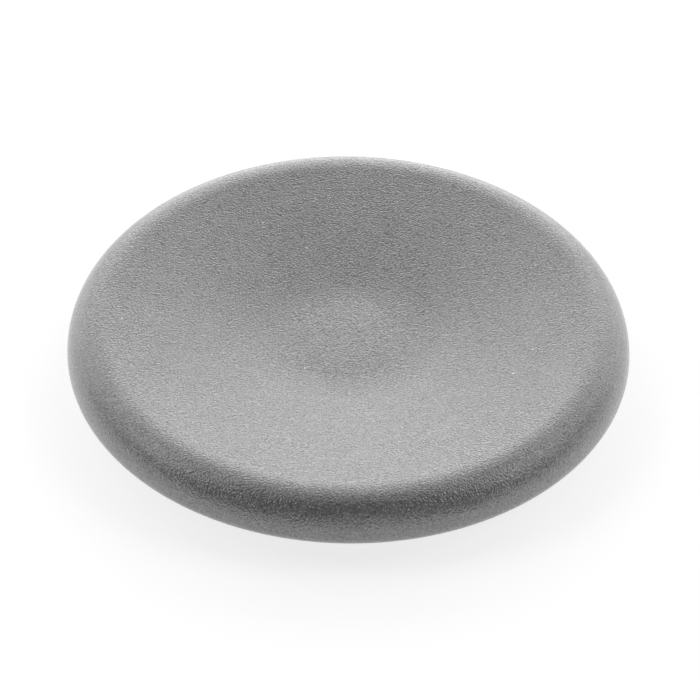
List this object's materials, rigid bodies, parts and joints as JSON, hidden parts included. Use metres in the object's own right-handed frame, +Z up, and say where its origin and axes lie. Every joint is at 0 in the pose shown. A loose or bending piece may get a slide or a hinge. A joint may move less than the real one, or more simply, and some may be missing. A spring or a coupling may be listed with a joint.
{
  "type": "gas burner cap",
  "caption": "Round enamelled cast cap with a shallow dished top, a thick rounded rim and a locating collar underneath; it rests on a gas burner crown and spreads the flame.",
  "frame": {"origin": "centre of the cap at the lower face of its locating collar, the plane it stands on", "axes": "+Z up along the cap's axis, out of the dished top; X and Y are alike"},
  "size_m": [0.075, 0.075, 0.0105],
  "materials": {
    "enamel": "matt pebbled enamel, mid grey"
  },
  "bodies": {
    "root": {"burner_cap": "enamel"}
  },
  "joints": []
}
